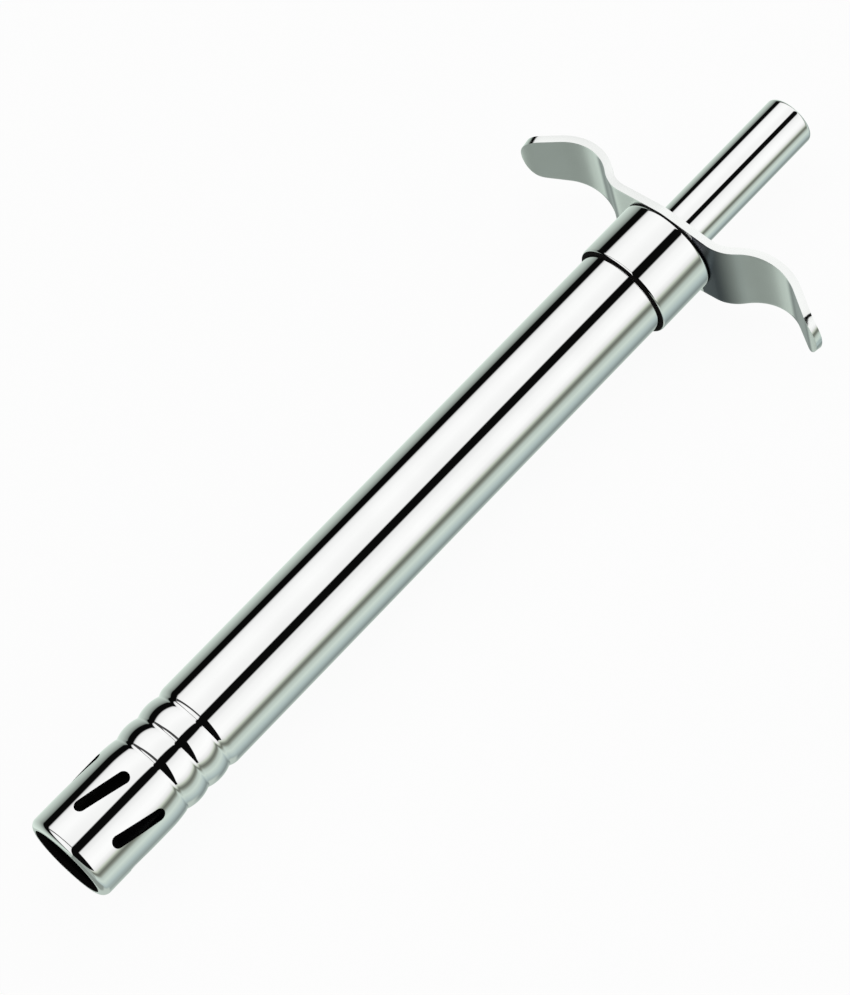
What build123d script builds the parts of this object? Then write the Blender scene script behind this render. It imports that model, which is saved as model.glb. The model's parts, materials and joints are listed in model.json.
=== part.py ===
from build123d import *
import math
import os

# Stick gas lighter with a piezo striker inside its tube. All sizes are in millimetres.
# X runs along the tube: the open nozzle mouth is at X = 0 and the push plunger points to +X.
# The finger grip's wings lie along +Y and -Y, and Z is up. The origin is the mouth's centre.

# ---- overall sizes ----
BARREL_LENGTH = 174.3       # mouth to the collar's outer face, where the finger grip sits
TUBE_RADIUS = 10.0          # barrel tube, outside
TUBE_WALL = 0.6
PLUNGER_RADIUS = 5.7        # push plunger, outside
PLUNGER_REACH = 36.9        # plunger standing out of the finger grip at rest
PLUNGER_STROKE = 14.0
HAMMER_THROW = 6.0

# ---- nozzle ----
LIP_DEPTH = 1.86            # how far the mouth's rim is rolled inwards
LIP_ROUND = 1.7
LIP_LAND = 1.2              # straight length of the rolled rim's bore
LIP_RUNOUT = 1.4            # length over which the bore opens out to the tube behind the rim
SLOT_COUNT = 6
SLOT_START = 6.8            # mouth to the near end of the air slots
SLOT_LENGTH = 12.2
SLOT_WIDTH = 2.7
SLOT_TURN = 2.5             # degrees from +Z to the middle of the first slot
SLOT_SLANT = 14.5           # degrees from the tube's axis
GROOVE_START = 23.4         # mouth to the first rolled groove
GROOVE_PITCH = 5.8
GROOVE_COUNT = 3
GROOVE_DEPTH = 0.5
GROOVE_HALF_WIDTH = 0.45
GROOVE_FLANK_DEPTH = 0.38   # depth at the edge of a groove's rounded bottom
TAPER_LENGTH = 4.4          # gentle run down into the first groove
SHOULDER_LENGTH = 1.6       # quick run up out of the last groove

# ---- collar and finger grip ----
COLLAR_LENGTH = 14.2
COLLAR_STEP = 1.1           # collar's outside above the tube's outside
COLLAR_FLOOR = 1.2
TUBE_SEAT_STEP = 0.1        # tube's end is drawn down this much for the collar
TUBE_SEAT_SHOW = 0.3        # drawn-down end that shows below the collar's edge
COLLAR_EDGE_ROUND = 0.8
COLLAR_LIP_ROUND = 0.3
GRIP_THICKNESS = 1.65
GRIP_HALF_WIDTH = 11.25     # at the tube's axis
GRIP_TAPER = 0.142          # half width lost for each millimetre along a wing
GRIP_WAIST_ROUND = 8.0
GRIP_TIP_ROUND = 4.6        # length of the rounded tip
# each row: straight length, then the bend's radius at the underside and its turn in degrees
GRIP_BENDS = ((11.5, 9.2, 40.0), (0.4, 11.6, -72.0), (5.9, 7.0, 31.3))

# ---- bush and plunger ----
BUSH_WALL = 1.2
BUSH_FLANGE = 1.5
BUSH_HUB_WALL = 2.0
BUSH_HUB_LENGTH = 6.0
BUSH_SINK = 0.3             # neck's end below the grip's outer face
PLUNGER_WALL = 0.5
PLUNGER_END_WALL = 1.0
PLUNGER_END_ROUND = 0.9
STOP_RING_LENGTH = 1.2
STOP_RING_WALL = 2.3
SEAT_WASHER = 1.0

# ---- springs ----
RETURN_WIRE = 0.9
RETURN_TURNS = 7
HAMMER_WIRE = 0.8
HAMMER_TURNS = 8
CONTACT_WIRE = 0.4
CONTACT_TURNS = 3
SPRING_SPARE = 1.8          # length left when a spring is pressed home
SPRING_END_GAP = 0.12       # between a spring's end and its seat

# ---- striker ----
HAMMER_RADIUS = 4.2
HAMMER_NOSE_RADIUS = 3.0
HAMMER_NOSE_LENGTH = 1.5
HAMMER_TAIL = 3.0           # hammer behind the cross pin
HAMMER_PILOT_RADIUS = 2.0
HAMMER_PILOT_LENGTH = 3.0
PIN_RADIUS = 1.25
PIN_END_INSET = 0.9         # pin's end inside the housing's outer face
NOTCH_TURN = 20.0           # degrees that the latch notch lies round from the slot
SLEEVE_WEB = 2.0            # cam sleeve left in front of its slots
SLEEVE_HEAD = 3.0           # cam sleeve left behind its slots
SLEEVE_SPIGOT = 7.0
CAM_RISE = 2.2              # slope on the slot's pushing end
ANVIL_HEAD_RADIUS = 3.9
ANVIL_HEAD = 1.5
ANVIL_LIFT = 0.3            # anvil head clear of the housing's floor
ANVIL_BODY = 4.0
CRYSTAL_RADIUS = 3.2
CRYSTAL_LENGTH = 13.0
TERMINAL_LENGTH = 3.4
HOUSING_GUIDE = 5.0         # housing that overlaps the plunger tube at rest
POCKET_RADIUS = 2.4
POCKET_LENGTH = 3.6
HOUSING_FRONT_WALL = 2.0

# ---- electrode ----
ELECTRODE_RADIUS = 1.0
ELECTRODE_TIP = 6.0         # mouth to the electrode's point
ELECTRODE_POINT_LENGTH = 2.5
ELECTRODE_HEAD_RADIUS = 1.9
ELECTRODE_HEAD = 1.0
SLEEVE_TUBE_RADIUS = 4.0    # insulating tube round the electrode
INSULATOR_NOSE_START = 8.0  # mouth to the insulator's thick nose
INSULATOR_NOSE_GAP = 3.0    # between the nose and the tube's bore
INSULATOR_NOSE_EDGE = 0.8   # bevel on the nose's end

# ---- fits, as radial or end clearances ----
SLIDE_GAP = 0.08            # plunger in its bush
SEAT_GAP = 0.05             # pieces that sit in each other
FREE_GAP = 0.35             # moving pieces that don't guide each other
TRAVEL_GAP = 0.8            # left at the end of the plunger's travel
STRIKE_GAP = 0.05           # hammer to anvil at the end of its throw

# ---- worked out from the sizes above ----
TUBE_BORE = TUBE_RADIUS - TUBE_WALL
MOUTH_RADIUS = TUBE_RADIUS - LIP_DEPTH
TUBE_SEAT_RADIUS = TUBE_RADIUS - TUBE_SEAT_STEP
TUBE_SEAT_START = BARREL_LENGTH - COLLAR_LENGTH - TUBE_SEAT_SHOW
COLLAR_BORE = TUBE_SEAT_RADIUS + SEAT_GAP
COLLAR_RADIUS = TUBE_RADIUS + COLLAR_STEP
TUBE_END = BARREL_LENGTH - COLLAR_FLOOR
GRIP_TOP = BARREL_LENGTH + GRIP_THICKNESS
PLUNGER_END = GRIP_TOP + PLUNGER_REACH
PLUNGER_BORE = PLUNGER_RADIUS - PLUNGER_WALL
NECK_RADIUS = PLUNGER_RADIUS + BUSH_WALL
BUSH_FLANGE_START = TUBE_END - BUSH_FLANGE
BUSH_START = BUSH_FLANGE_START - BUSH_HUB_LENGTH
STOP_RING_START = BUSH_START - STOP_RING_LENGTH
UPPER_WASHER_START = STOP_RING_START - SEAT_WASHER
RETURN_SPRING_LENGTH = PLUNGER_STROKE + RETURN_WIRE * RETURN_TURNS + SPRING_SPARE
LOWER_WASHER_END = UPPER_WASHER_START - RETURN_SPRING_LENGTH
HOUSING_END = LOWER_WASHER_END - SEAT_WASHER
HOUSING_BORE = PLUNGER_RADIUS + FREE_GAP
PLUNGER_START = HOUSING_END - HOUSING_GUIDE
SLOT_GAP = PIN_RADIUS + FREE_GAP
SLEEVE_SLOT_END = PLUNGER_START - SLEEVE_HEAD
PIN_X = SLEEVE_SLOT_END - SLOT_GAP - PLUNGER_STROKE
SLEEVE_SLOT_START = PIN_X - HAMMER_THROW - SLOT_GAP
SLEEVE_START = SLEEVE_SLOT_START - SLEEVE_WEB
SLEEVE_BORE = HAMMER_RADIUS + FREE_GAP
HOUSING_FLOOR = SLEEVE_START - PLUNGER_STROKE - TRAVEL_GAP
ANVIL_FACE = HOUSING_FLOOR + ANVIL_LIFT + ANVIL_HEAD
HAMMER_START = ANVIL_FACE + STRIKE_GAP + HAMMER_THROW
HAMMER_END = PIN_X + PIN_RADIUS + HAMMER_TAIL
HAMMER_SPRING_LENGTH = PLUNGER_STROKE + HAMMER_WIRE * HAMMER_TURNS + SPRING_SPARE
CORE_START = HAMMER_END + HAMMER_SPRING_LENGTH
ANVIL_START = HOUSING_FLOOR + ANVIL_LIFT - ANVIL_BODY
CRYSTAL_START = ANVIL_START - CRYSTAL_LENGTH
TERMINAL_START = CRYSTAL_START - TERMINAL_LENGTH
POCKET_START = TERMINAL_START - POCKET_LENGTH
HOUSING_START = POCKET_START - HOUSING_FRONT_WALL
HOUSING_RADIUS = TUBE_BORE - SEAT_GAP
ELECTRODE_BORE = ELECTRODE_RADIUS + SEAT_GAP
ELECTRODE_END = POCKET_START + SEAT_GAP + ELECTRODE_HEAD
GROOVES = [GROOVE_START + GROOVE_PITCH * i for i in range(GROOVE_COUNT)]
INSULATOR_START = GROOVES[0] + GROOVE_HALF_WIDTH
INSULATOR_END = GROOVES[-1] - GROOVE_HALF_WIDTH


def turned(points, rounds=()):
    """A solid of revolution about X from (x, radius) corners; rounds are (corner, radius) pairs."""
    outline = make_face(Polyline(*points, close=True))
    for corner, radius in rounds:
        outline = fillet(outline.vertices().sort_by_distance((*corner, 0))[0], radius)
    return revolve(outline, Axis.X)


def ring(start, end, inner, outer, rounds=()):
    """A plain tube or washer along X."""
    return turned([(start, inner), (end, inner), (end, outer), (start, outer)], rounds)


def coil(start, end, radius, wire, turns):
    """A round-wire compression spring along X, standing between two seats."""
    room = end - start - wire - 2 * SPRING_END_GAP
    path = Helix(pitch=room / turns, height=room, radius=radius)
    section = Plane(origin=path @ 0, z_dir=path % 0) * Circle(wire / 2)
    spring = sweep(section, path=path, is_frenet=True)
    return Pos(start + wire / 2 + SPRING_END_GAP, 0, 0) * Rot(0, 90, 0) * spring


def bead_arcs(radius):
    """The humps and rounded grooves between the first groove's bottom and the last one's."""
    flank = radius - GROOVE_FLANK_DEPTH
    edges = []
    for index, groove in enumerate(GROOVES):
        if 0 < index < GROOVE_COUNT - 1:
            start = (groove - GROOVE_HALF_WIDTH, flank)
            end = (groove + GROOVE_HALF_WIDTH, flank)
            edges.append(ThreePointArc(start, (groove, radius - GROOVE_DEPTH), end))
        if index < GROOVE_COUNT - 1:
            start = (groove + GROOVE_HALF_WIDTH, flank)
            end = (GROOVES[index + 1] - GROOVE_HALF_WIDTH, flank)
            edges.append(ThreePointArc(start, (groove + GROOVE_PITCH / 2, radius), end))
    return edges


def grooved_line(radius):
    """The tube's wall line from the start of the taper to the end of the shoulder."""
    flank = radius - GROOVE_FLANK_DEPTH
    first = GROOVES[0] - GROOVE_HALF_WIDTH
    last = GROOVES[-1] + GROOVE_HALF_WIDTH
    taper_sag = radius - GROOVE_FLANK_DEPTH / 4
    taper = ThreePointArc((first - TAPER_LENGTH, radius), (first - TAPER_LENGTH / 2, taper_sag), (first, flank))
    shoulder = ThreePointArc((last, flank), (last + SHOULDER_LENGTH / 2, taper_sag), (last + SHOULDER_LENGTH, radius))
    ends = []
    for groove in (GROOVES[0], GROOVES[-1]):
        start = (groove - GROOVE_HALF_WIDTH, flank)
        end = (groove + GROOVE_HALF_WIDTH, flank)
        ends.append(ThreePointArc(start, (groove, radius - GROOVE_DEPTH), end))
    return [taper, ends[0], *bead_arcs(radius), ends[1], shoulder]


def air_slot(angle):
    """The cutter for one slanted air slot, turned about the tube's axis."""
    middle = SLOT_START + SLOT_LENGTH / 2
    top = Plane(origin=(middle, 0, 0), x_dir=(1, 0, 0), z_dir=(0, 0, 1))
    shape = top * Rot(0, 0, -SLOT_SLANT) * SlotOverall(SLOT_LENGTH, SLOT_WIDTH)
    return Rot(angle, 0, 0) * extrude(shape, TUBE_RADIUS + 1)


def barrel_tube():
    outer = grooved_line(TUBE_RADIUS)
    inner = grooved_line(TUBE_BORE)
    taper_start = GROOVES[0] - GROOVE_HALF_WIDTH - TAPER_LENGTH
    shoulder_end = GROOVES[-1] + GROOVE_HALF_WIDTH + SHOULDER_LENGTH
    lip_top = (0, TUBE_RADIUS - LIP_ROUND)
    lip_end = (LIP_ROUND, TUBE_RADIUS)
    lip_middle = (
        LIP_ROUND * (1 - math.cos(math.radians(45))),
        TUBE_RADIUS - LIP_ROUND * (1 - math.sin(math.radians(45))),
    )
    rim = [(taper_start, TUBE_BORE), (LIP_LAND + LIP_RUNOUT, TUBE_BORE), (LIP_LAND, MOUTH_RADIUS), (0, MOUTH_RADIUS)]
    tail = [
        (shoulder_end, TUBE_RADIUS),
        (TUBE_SEAT_START, TUBE_RADIUS),
        (TUBE_SEAT_START, TUBE_SEAT_RADIUS),
        (TUBE_END, TUBE_SEAT_RADIUS),
        (TUBE_END, TUBE_BORE),
        (shoulder_end, TUBE_BORE),
    ]
    edges = [
        Polyline(*rim, lip_top),
        ThreePointArc(lip_top, lip_middle, lip_end),
        Line(lip_end, (taper_start, TUBE_RADIUS)),
        *outer,
        Polyline(*tail),
        *inner,
    ]
    tube = revolve(make_face(edges), Axis.X)
    for index in range(SLOT_COUNT):
        tube -= air_slot(360 / SLOT_COUNT * index + SLOT_TURN)
    return tube


def collar_cap():
    start = BARREL_LENGTH - COLLAR_LENGTH
    points = [
        (start, COLLAR_BORE),
        (TUBE_END, COLLAR_BORE),
        (TUBE_END, NECK_RADIUS + SEAT_GAP),
        (BARREL_LENGTH, NECK_RADIUS + SEAT_GAP),
        (BARREL_LENGTH, COLLAR_RADIUS),
        (start, COLLAR_RADIUS),
    ]
    rounds = [
        ((BARREL_LENGTH, COLLAR_RADIUS), COLLAR_EDGE_ROUND),
        ((start, COLLAR_RADIUS), COLLAR_LIP_ROUND),
    ]
    return turned(points, rounds)


def wing_line(lift):
    """The bent line of one wing at a height above the underside, and its end point and heading."""
    edges = []
    across = 0.0
    height = lift
    heading = 0.0
    for straight, radius, turn in GRIP_BENDS:
        corner = (across + straight * math.cos(heading), height + straight * math.sin(heading))
        edges.append(Line((height, across), (corner[1], corner[0])))
        side = math.copysign(1, turn)
        reach = radius - side * lift
        centre = (corner[0] - side * reach * math.sin(heading), corner[1] + side * reach * math.cos(heading))
        stops = []
        for share in (0.5, 1):
            angle = heading + math.radians(turn) * share
            stops.append((centre[1] - side * reach * math.cos(angle), centre[0] + side * reach * math.sin(angle)))
        edges.append(ThreePointArc((corner[1], corner[0]), stops[0], stops[1]))
        heading += math.radians(turn)
        height, across = stops[1]
    return edges, (height, across)


def grip_plan():
    """The finger grip seen along the tube's axis."""
    underside_end = wing_line(0)[1]
    top_end = wing_line(GRIP_THICKNESS)[1]
    tip = min(underside_end[1], top_end[1])
    bend = tip - GRIP_TIP_ROUND
    narrow = GRIP_HALF_WIDTH - GRIP_TAPER * bend
    edges = []
    for side in (1, -1):
        edges.append(Line((0, side * GRIP_HALF_WIDTH), (bend, side * narrow)))
        edges.append(Line((0, side * GRIP_HALF_WIDTH), (-bend, side * narrow)))
        edges.append(ThreePointArc((side * bend, narrow), (side * tip, 0), (side * bend, -narrow)))
    plan = make_face(edges)
    for side in (1, -1):
        plan = fillet(plan.vertices().sort_by_distance((0, side * GRIP_HALF_WIDTH, 0))[0], GRIP_WAIST_ROUND)
    return plan


def finger_grip():
    underside, low_end = wing_line(0)
    top, high_end = wing_line(GRIP_THICKNESS)
    profile = make_face([*underside, Line(low_end, high_end), *top, Line((GRIP_THICKNESS, 0), (0, 0))])
    wing = extrude(profile, 2 * GRIP_HALF_WIDTH, both=True)
    strip = Pos(BARREL_LENGTH, 0, 0) * (wing + mirror(wing, Plane.XZ))
    across = Plane(origin=(0, 0, 0), x_dir=(0, 1, 0), z_dir=(1, 0, 0))
    strip &= extrude(across * grip_plan(), 2 * BARREL_LENGTH)
    hole = ring(BARREL_LENGTH - 1, GRIP_TOP + 1, 0, NECK_RADIUS + SEAT_GAP)
    return strip - hole


def guide_bush():
    bore = PLUNGER_RADIUS + SLIDE_GAP
    hub = PLUNGER_RADIUS + BUSH_HUB_WALL
    return turned([
        (BUSH_START, bore),
        (GRIP_TOP - BUSH_SINK, bore),
        (GRIP_TOP - BUSH_SINK, NECK_RADIUS),
        (TUBE_END, NECK_RADIUS),
        (TUBE_END, TUBE_BORE - SEAT_GAP),
        (BUSH_FLANGE_START, TUBE_BORE - SEAT_GAP),
        (BUSH_FLANGE_START, hub),
        (BUSH_START, hub),
    ])


def striker_housing():
    crystal_bore = CRYSTAL_RADIUS + SEAT_GAP
    shell = turned([
        (HOUSING_START, ELECTRODE_BORE),
        (POCKET_START, ELECTRODE_BORE),
        (POCKET_START, POCKET_RADIUS),
        (TERMINAL_START, POCKET_RADIUS),
        (TERMINAL_START, crystal_bore),
        (HOUSING_FLOOR, crystal_bore),
        (HOUSING_FLOOR, HOUSING_BORE),
        (HOUSING_END, HOUSING_BORE),
        (HOUSING_END, HOUSING_RADIUS),
        (HOUSING_START, HOUSING_RADIUS),
    ])
    low = PIN_X - HAMMER_THROW - SLOT_GAP
    high = PIN_X + SLOT_GAP
    slot = Pos((low + high) / 2, 0, 0) * Box(high - low, 3 * TUBE_RADIUS, 2 * SLOT_GAP)
    notch = Pos(PIN_X, 0, 0) * Box(2 * SLOT_GAP, 3 * TUBE_RADIUS, 2 * SLOT_GAP)
    return shell - slot - Rot(NOTCH_TURN, 0, 0) * notch


def nozzle_insulator():
    radius = TUBE_BORE - SEAT_GAP
    flank = radius - GROOVE_FLANK_DEPTH
    nose = TUBE_BORE - INSULATOR_NOSE_GAP
    front = [
        (INSULATOR_END, flank),
        (INSULATOR_END, ELECTRODE_BORE),
        (INSULATOR_NOSE_START, ELECTRODE_BORE),
        (INSULATOR_NOSE_START, nose - INSULATOR_NOSE_EDGE),
        (INSULATOR_NOSE_START + INSULATOR_NOSE_EDGE, nose),
        (INSULATOR_START, nose),
        (INSULATOR_START, flank),
    ]
    return revolve(make_face([*bead_arcs(radius), Polyline(*front)]), Axis.X)


def electrode():
    return turned([
        (ELECTRODE_TIP, 0),
        (ELECTRODE_END, 0),
        (ELECTRODE_END, ELECTRODE_HEAD_RADIUS),
        (ELECTRODE_END - ELECTRODE_HEAD, ELECTRODE_HEAD_RADIUS),
        (ELECTRODE_END - ELECTRODE_HEAD, ELECTRODE_RADIUS),
        (ELECTRODE_TIP + ELECTRODE_POINT_LENGTH, ELECTRODE_RADIUS),
    ])


def electrode_sleeve():
    return ring(INSULATOR_END, HOUSING_START, ELECTRODE_BORE, SLEEVE_TUBE_RADIUS)


def contact_spring():
    radius = (ELECTRODE_HEAD_RADIUS + POCKET_RADIUS) / 2 - CONTACT_WIRE
    return coil(ELECTRODE_END, TERMINAL_START, radius, CONTACT_WIRE, CONTACT_TURNS)


def front_terminal():
    return ring(TERMINAL_START, CRYSTAL_START, 0, CRYSTAL_RADIUS)


def piezo_crystal():
    return ring(CRYSTAL_START, ANVIL_START, 0, CRYSTAL_RADIUS)


def anvil():
    head = HOUSING_FLOOR + ANVIL_LIFT
    return turned([
        (ANVIL_START, 0),
        (ANVIL_FACE, 0),
        (ANVIL_FACE, ANVIL_HEAD_RADIUS),
        (head, ANVIL_HEAD_RADIUS),
        (head, CRYSTAL_RADIUS),
        (ANVIL_START, CRYSTAL_RADIUS),
    ])


def seat_washer(start):
    return ring(start, start + SEAT_WASHER, PLUNGER_RADIUS + FREE_GAP, TUBE_BORE - FREE_GAP)


def return_spring():
    radius = (PLUNGER_RADIUS + TUBE_BORE) / 2
    return coil(LOWER_WASHER_END, UPPER_WASHER_START, radius, RETURN_WIRE, RETURN_TURNS)


def stop_ring():
    inner = PLUNGER_RADIUS + SEAT_GAP
    outer = min(inner + STOP_RING_WALL, TUBE_BORE - FREE_GAP)
    return ring(STOP_RING_START, BUSH_START, inner, outer)


def plunger_tube():
    points = [
        (PLUNGER_START, PLUNGER_BORE),
        (PLUNGER_END - PLUNGER_END_WALL, PLUNGER_BORE),
        (PLUNGER_END - PLUNGER_END_WALL, 0),
        (PLUNGER_END, 0),
        (PLUNGER_END, PLUNGER_RADIUS),
        (PLUNGER_START, PLUNGER_RADIUS),
    ]
    return turned(points, [((PLUNGER_END, PLUNGER_RADIUS), PLUNGER_END_ROUND)])


def plunger_core():
    return ring(CORE_START, PLUNGER_END - PLUNGER_END_WALL, 0, PLUNGER_BORE - SEAT_GAP)


def cam_sleeve():
    body = turned([
        (SLEEVE_START, SLEEVE_BORE),
        (PLUNGER_START + SLEEVE_SPIGOT, SLEEVE_BORE),
        (PLUNGER_START + SLEEVE_SPIGOT, PLUNGER_BORE - SEAT_GAP),
        (PLUNGER_START, PLUNGER_BORE - SEAT_GAP),
        (PLUNGER_START, PLUNGER_RADIUS),
        (SLEEVE_START, PLUNGER_RADIUS),
    ])
    window = make_face(Polyline(
        (SLEEVE_SLOT_START, -SLOT_GAP),
        (SLEEVE_SLOT_END, -SLOT_GAP),
        (SLEEVE_SLOT_END + min(CAM_RISE, SLEEVE_HEAD / 2), SLOT_GAP),
        (SLEEVE_SLOT_START, SLOT_GAP),
        close=True,
    ))
    side = Plane(origin=(0, 0, 0), x_dir=(1, 0, 0), z_dir=(0, 1, 0))
    return body - extrude(side * window, 3 * TUBE_RADIUS, both=True)


def hammer_spring():
    radius = (SLEEVE_BORE + HAMMER_PILOT_RADIUS) / 2
    return coil(HAMMER_END, CORE_START, radius, HAMMER_WIRE, HAMMER_TURNS)


def hammer():
    body = turned([
        (HAMMER_START, 0),
        (HAMMER_END + HAMMER_PILOT_LENGTH, 0),
        (HAMMER_END + HAMMER_PILOT_LENGTH, HAMMER_PILOT_RADIUS),
        (HAMMER_END, HAMMER_PILOT_RADIUS),
        (HAMMER_END, HAMMER_RADIUS),
        (HAMMER_START + HAMMER_NOSE_LENGTH, HAMMER_RADIUS),
        (HAMMER_START, HAMMER_NOSE_RADIUS),
    ])
    cross_hole = Pos(PIN_X, 0, 0) * Rot(90, 0, 0) * Cylinder(PIN_RADIUS + SEAT_GAP, 3 * TUBE_RADIUS)
    return body - cross_hole


def hammer_pin():
    length = 2 * (HOUSING_RADIUS - PIN_END_INSET)
    return Pos(PIN_X, 0, 0) * Rot(90, 0, 0) * Cylinder(PIN_RADIUS, length)


PIECES = {
    "barrel_tube": barrel_tube(),
    "collar_cap": collar_cap(),
    "finger_grip": finger_grip(),
    "guide_bush": guide_bush(),
    "striker_housing": striker_housing(),
    "nozzle_insulator": nozzle_insulator(),
    "electrode": electrode(),
    "electrode_sleeve": electrode_sleeve(),
    "contact_spring": contact_spring(),
    "front_terminal": front_terminal(),
    "piezo_crystal": piezo_crystal(),
    "anvil": anvil(),
    "lower_spring_washer": seat_washer(HOUSING_END),
    "upper_spring_washer": seat_washer(UPPER_WASHER_START),
    "return_spring": return_spring(),
    "stop_ring": stop_ring(),
    "plunger_tube": plunger_tube(),
    "plunger_core": plunger_core(),
    "cam_sleeve": cam_sleeve(),
    "hammer_spring": hammer_spring(),
    "hammer": hammer(),
    "hammer_pin": hammer_pin(),
}

os.makedirs("parts", exist_ok=True)
for name, solid in PIECES.items():
    export_step(solid, f"parts/{name}.step")
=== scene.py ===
import json
import math

import bpy
from bpy.props import FloatProperty, FloatVectorProperty, IntProperty, PointerProperty
from mathutils import Matrix, Vector

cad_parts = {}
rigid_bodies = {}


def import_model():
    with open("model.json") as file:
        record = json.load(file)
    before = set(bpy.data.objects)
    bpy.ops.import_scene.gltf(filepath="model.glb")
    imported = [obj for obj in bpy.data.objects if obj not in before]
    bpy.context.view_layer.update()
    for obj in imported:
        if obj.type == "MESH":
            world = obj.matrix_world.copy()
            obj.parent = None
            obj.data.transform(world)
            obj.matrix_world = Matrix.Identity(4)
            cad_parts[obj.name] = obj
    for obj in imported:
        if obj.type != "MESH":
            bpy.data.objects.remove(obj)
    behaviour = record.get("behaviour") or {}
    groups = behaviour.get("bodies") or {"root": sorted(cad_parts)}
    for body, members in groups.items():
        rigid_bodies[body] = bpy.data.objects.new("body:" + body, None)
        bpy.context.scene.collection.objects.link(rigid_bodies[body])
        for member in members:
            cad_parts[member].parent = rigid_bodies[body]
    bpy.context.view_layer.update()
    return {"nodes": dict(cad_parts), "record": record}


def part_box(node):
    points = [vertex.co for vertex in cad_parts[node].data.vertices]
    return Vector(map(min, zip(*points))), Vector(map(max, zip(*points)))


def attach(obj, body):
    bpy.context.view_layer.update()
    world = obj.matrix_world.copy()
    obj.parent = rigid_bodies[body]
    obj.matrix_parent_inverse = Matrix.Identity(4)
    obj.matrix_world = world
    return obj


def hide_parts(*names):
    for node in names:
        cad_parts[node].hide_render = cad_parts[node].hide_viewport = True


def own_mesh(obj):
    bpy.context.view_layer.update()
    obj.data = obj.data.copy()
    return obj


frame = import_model()

bl_info = {
    "name": "Gas Lighter Looks",
    "version": (1, 0, 0),
    "blender": (4, 5, 0),
    "location": "View3D > Sidebar > Gas Lighter",
    "description": "Builds the polished shell, finger grip, finishes and studio of a stick gas lighter",
    "category": "Object",
}

# Everything is in metres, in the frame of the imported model: the nozzle's mouth is at the origin,
# the tube runs along +X to the push plunger, the grip's wings lie along +Y and -Y, and Z is up.

MM = 0.001
CLOSE = 1e-7              # points nearer than this are one point
FINISH = " finish"        # ends the names of the finishes made here; the model brings plain ones of its own
SHARP = math.radians(35)  # shading breaks at edges sharper than this


def node_start(node):
    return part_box(node)[0].x


def node_end(node):
    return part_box(node)[1].x


def node_radius(node):
    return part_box(node)[1].z


def size(name, description, default):
    """A length in metres for the size panel."""
    return FloatProperty(
        name=name, description=description, default=default, min=0.0, subtype="DISTANCE", unit="LENGTH"
    )


def turned_by(name, description, degrees):
    """An angle, given in degrees, for the size panel."""
    return FloatProperty(
        name=name, description=description, default=math.radians(degrees), subtype="ANGLE", unit="ROTATION"
    )


def paint(name, description, default):
    """A colour for the finish panel."""
    return FloatVectorProperty(
        name=name, description=description, default=default, size=3, min=0, max=1, subtype="COLOR"
    )


class BarrelSizes(bpy.types.PropertyGroup):
    """Sizes of the barrel tube, its nozzle and the collar"""

    radius: size("Tube radius", "Outside of the barrel tube", node_radius("barrel_tube"))
    length: size("Tube length", "Nozzle mouth to the tube's hidden end", node_end("barrel_tube"))
    wall: size("Tube wall", "Thickness of the tube's sheet", 0.6 * MM)
    lip_depth: size("Lip depth", "How far the mouth's rim is rolled inwards", 1.86 * MM)
    lip_round: size("Lip round", "Outside radius of the rolled rim", 1.7 * MM)
    lip_land: size("Lip land", "Straight length of the rim's bore", 1.2 * MM)
    lip_runout: size("Lip runout", "Length over which the bore opens behind the rim", 1.4 * MM)
    lip_break: size("Lip break", "Small rounding of the rim's inner edge", 0.25 * MM)
    groove_start: size("First groove", "Mouth to the first rolled groove", 23.4 * MM)
    groove_pitch: size("Groove pitch", "From one rolled groove to the next", 5.8 * MM)
    groove_depth: size("Groove depth", "Depth of the rolled grooves", 0.5 * MM)
    groove_half: size("Groove half width", "Half width of a groove's rounded bottom", 0.45 * MM)
    groove_flank: size("Groove flank", "Depth at the edge of a groove's bottom", 0.38 * MM)
    taper: size("Taper", "Gentle run down into the first groove", 4.4 * MM)
    shoulder: size("Shoulder", "Quick run up out of the last groove", 1.6 * MM)
    slot_start: size("Slot start", "Mouth to the near end of the air slots", 6.8 * MM)
    slot_length: size("Slot length", "Air slot from end to end", 12.2 * MM)
    slot_width: size("Slot width", "Width of an air slot", 2.7 * MM)
    slot_slant: turned_by("Slot slant", "Slant of the air slots", 14.5)
    slot_turn: turned_by("Slot turn", "From +Z round to the first air slot", 2.5)
    slot_count: IntProperty(name="Slots", description="Air slots round the nozzle", default=6, min=1)
    groove_count: IntProperty(name="Grooves", description="Rolled grooves", default=3, min=2)
    seat_step: size("Seat step", "How much the tube is drawn down under the collar", 0.1 * MM)
    seat_show: size("Seat show", "Drawn-down end that shows below the collar", 0.3 * MM)
    collar_start: size("Collar start", "Mouth to the collar's edge", node_start("collar_cap"))
    collar_end: size("Collar end", "Mouth to the collar's outer face", node_end("collar_cap"))
    collar_radius: size("Collar radius", "Outside of the collar", node_radius("collar_cap"))
    collar_floor: size("Collar floor", "Thickness of the collar's end wall", 1.2 * MM)
    collar_hole: size("Collar hole", "Radius of the hole in the collar's end wall", 6.95 * MM)
    collar_round: size("Collar round", "Rounding of the collar's outer edge", 0.8 * MM)
    collar_lip: size("Collar lip", "Rounding of the collar's open edge", 0.7 * MM)
    fit: size("Fit", "Radial gap between the tube and the collar", 0.05 * MM)


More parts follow.
